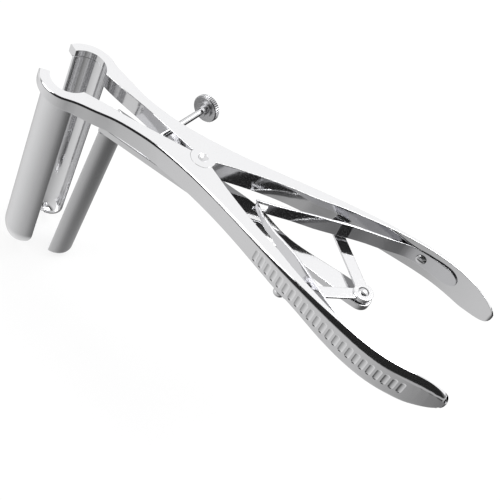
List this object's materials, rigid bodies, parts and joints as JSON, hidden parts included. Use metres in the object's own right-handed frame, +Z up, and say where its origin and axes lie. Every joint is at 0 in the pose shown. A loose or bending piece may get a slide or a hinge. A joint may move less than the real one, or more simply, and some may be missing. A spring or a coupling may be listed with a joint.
{
  "type": "three-blade anal speculum",
  "caption": "Hand-held rectal speculum whose spread blades open by squeezing sprung handles, with a sliding bar, hinged links and a thumb screw stop.",
  "frame": {"origin": "pivot axis of the two levers, in the plane of their flat tops", "axes": "+X from the pivot to the handle ends, +Y to the side of the lever that carries the thumb screw, +Z up away from the blades"},
  "size_m": [0.1987, 0.0666, 0.1002],
  "materials": {
    "polished_steel": "mirror polished stainless steel",
    "fastener_steel": "turned and polished stainless steel",
    "spring_steel": "polished spring steel"
  },
  "bodies": {
    "pivot": {"pivot_screw": "fastener_steel", "pivot_spacer": "fastener_steel", "pivot_nut": "fastener_steel"},
    "right_lever": {"right_lever": "polished_steel", "right_blade": "polished_steel", "right_leaf_spring": "spring_steel", "right_spring_screw": "fastener_steel", "right_link_screw": "fastener_steel"},
    "left_lever": {"left_lever": "polished_steel", "left_blade": "polished_steel", "left_leaf_spring": "spring_steel", "left_spring_screw": "fastener_steel", "left_link_screw": "fastener_steel", "left_link_washer": "fastener_steel"},
    "centre_bar": {"centre_bar": "polished_steel", "centre_blade": "polished_steel"},
    "right_link": {"right_link": "polished_steel", "link_rivet": "fastener_steel", "link_spacer": "fastener_steel"},
    "left_link": {"left_link": "polished_steel"},
    "thumb_screw": {"thumb_screw": "fastener_steel", "thumb_screw_knob": "fastener_steel"}
  },
  "joints": [
    {"name": "right_lever_hinge", "type": "hinge", "parent": "pivot", "child": "right_lever", "pos_m": [0, 0, 0], "axis": [0, 0, -1], "range_deg": [0, 9], "stiffness_Nm_per_rad": 1.2, "springref_deg": -20.05, "deforming": ["right_leaf_spring"]},
    {"name": "left_lever_hinge", "type": "hinge", "parent": "pivot", "child": "left_lever", "pos_m": [0, 0, 0], "axis": [0, 0, 1], "range_deg": [0, 9], "deforming": ["left_leaf_spring"]},
    {"name": "centre_bar_slide", "type": "slide", "parent": "pivot", "child": "centre_bar", "axis": [1, 0, 0], "range_m": [0, 0.00895]},
    {"name": "right_link_hinge", "type": "hinge", "parent": "right_lever", "child": "right_link", "pos_m": [0.0538, 0.023, -0.0105], "axis": [0, 0, 1], "range_deg": [0, 26.3]},
    {"name": "left_link_hinge", "type": "hinge", "parent": "left_lever", "child": "left_link", "pos_m": [0.0538, -0.023, -0.0115], "axis": [0, 0, -1], "range_deg": [0, 26.3]},
    {"name": "thumb_screw_slide", "type": "slide", "parent": "right_lever", "child": "thumb_screw", "axis": [0.1564, 0.9877, 0], "range_m": [0, 0.008]}
  ],
  "couplings": [
    {"joint": "left_lever_hinge", "follows": "right_lever_hinge", "ratio": 1},
    {"joint": "centre_bar_slide", "follows": "right_lever_hinge", "m_per_rad": 0.0568},
    {"joint": "right_link_hinge", "follows": "right_lever_hinge", "ratio": 2.917},
    {"joint": "left_link_hinge", "follows": "right_lever_hinge", "ratio": 2.917}
  ]
}
